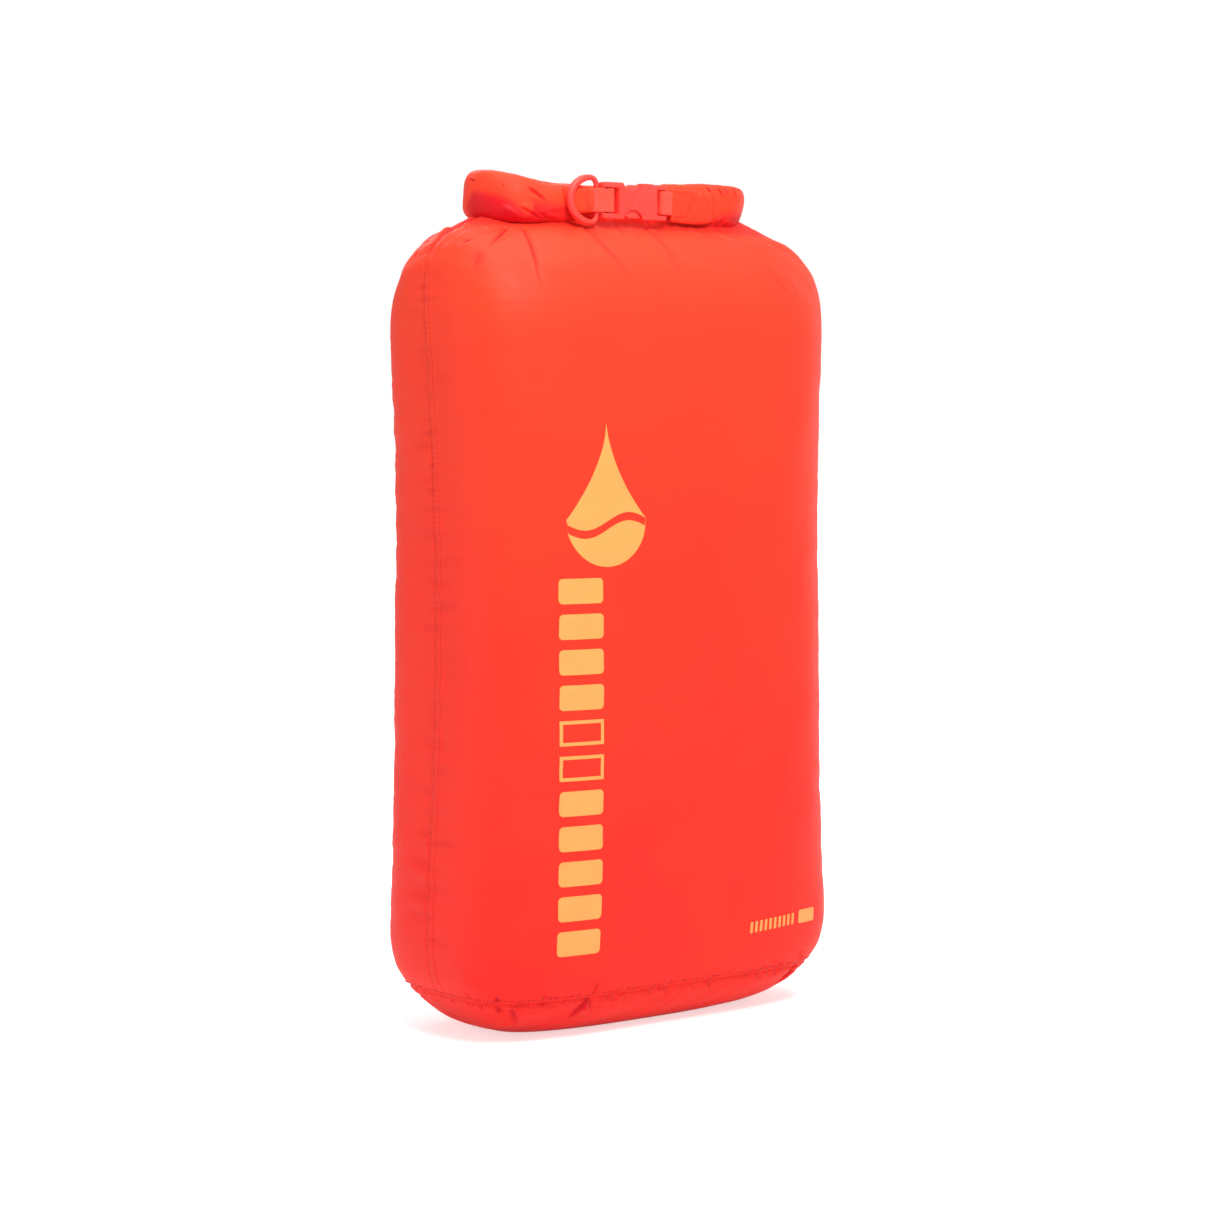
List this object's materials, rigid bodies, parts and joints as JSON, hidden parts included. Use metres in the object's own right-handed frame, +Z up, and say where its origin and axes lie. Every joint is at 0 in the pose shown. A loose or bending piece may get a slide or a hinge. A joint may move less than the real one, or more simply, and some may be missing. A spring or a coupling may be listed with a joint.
{
  "type": "dry bag",
  "caption": "Roll-top dry bag, packed and closed, with a side-release buckle joining the rolled mouth and a hanging ring.",
  "frame": {"origin": "middle of the flat underside the bag stands on", "axes": "+Z up to the rolled mouth, -Y out of the wide front that carries the buckle, +X along the bag's width"},
  "size_m": [0.3, 0.1642, 0.55],
  "materials": {
    "body_cloth": "satin coated nylon",
    "roll_cloth": "satin coated nylon",
    "seam_tape": "smooth translucent tape",
    "thread": "matte",
    "lip_strip": "matte",
    "webbing": "matte weave",
    "buckle_plastic": "fine satin",
    "print": "matte transfer print"
  },
  "bodies": {
    "bag": {"front_panel": "body_cloth", "back_panel": "body_cloth", "base_panel": "body_cloth", "base_seam_tape": "seam_tape", "base_seam_thread": "thread", "side_seam_tape_left": "seam_tape", "side_seam_tape_right": "seam_tape"},
    "closure": {"roll_back": "roll_cloth", "roll_left_bend": "roll_cloth", "roll_right_bend": "roll_cloth", "mouth_web": "body_cloth", "stiffener_strip": "lip_strip"},
    "left_end": {"roll_left_end": "roll_cloth", "webbing_tab_left": "webbing", "box_stitch_left": "thread", "buckle_housing": "buckle_plastic"},
    "right_end": {"roll_right_end": "roll_cloth", "webbing_tab_right": "webbing", "box_stitch_right": "thread", "buckle_male": "buckle_plastic"},
    "ring": {"d_ring": "buckle_plastic"},
    "upper_prong": {"prong_upper": "buckle_plastic"},
    "lower_prong": {"prong_lower": "buckle_plastic"}
  },
  "joints": [
    {"name": "closure_lift", "type": "slide", "parent": "bag", "child": "closure", "axis": [0, 0, 1], "range_m": [0, 0.07]},
    {"name": "right_end_release", "type": "slide", "parent": "closure", "child": "right_end", "axis": [1, 0, 0], "range_m": [0, 0.012], "deforming": ["roll_right_bend", "stiffener_strip", "prong_upper", "prong_lower"]},
    {"name": "left_end_release", "type": "slide", "parent": "closure", "child": "left_end", "axis": [-1, 0, 0], "range_m": [0, 0.012], "deforming": ["roll_left_bend", "stiffener_strip"]},
    {"name": "d_ring_swing", "type": "hinge", "parent": "left_end", "child": "ring", "pos_m": [-0.0385, -0.0345, 0.534], "axis": [0, 0, 1], "range_deg": [0, 130]},
    {"name": "prong_upper_press", "type": "hinge", "parent": "right_end", "child": "upper_prong", "pos_m": [0.0041, -0.036, 0.5405], "axis": [0, -1, 0], "range_deg": [0, 8], "stiffness_Nm_per_rad": 0.4},
    {"name": "prong_lower_press", "type": "hinge", "parent": "right_end", "child": "lower_prong", "pos_m": [0.0041, -0.036, 0.5275], "axis": [0, 1, 0], "range_deg": [0, 8], "stiffness_Nm_per_rad": 0.4}
  ],
  "couplings": [
    {"joint": "left_end_release", "follows": "right_end_release", "ratio": 1}
  ]
}
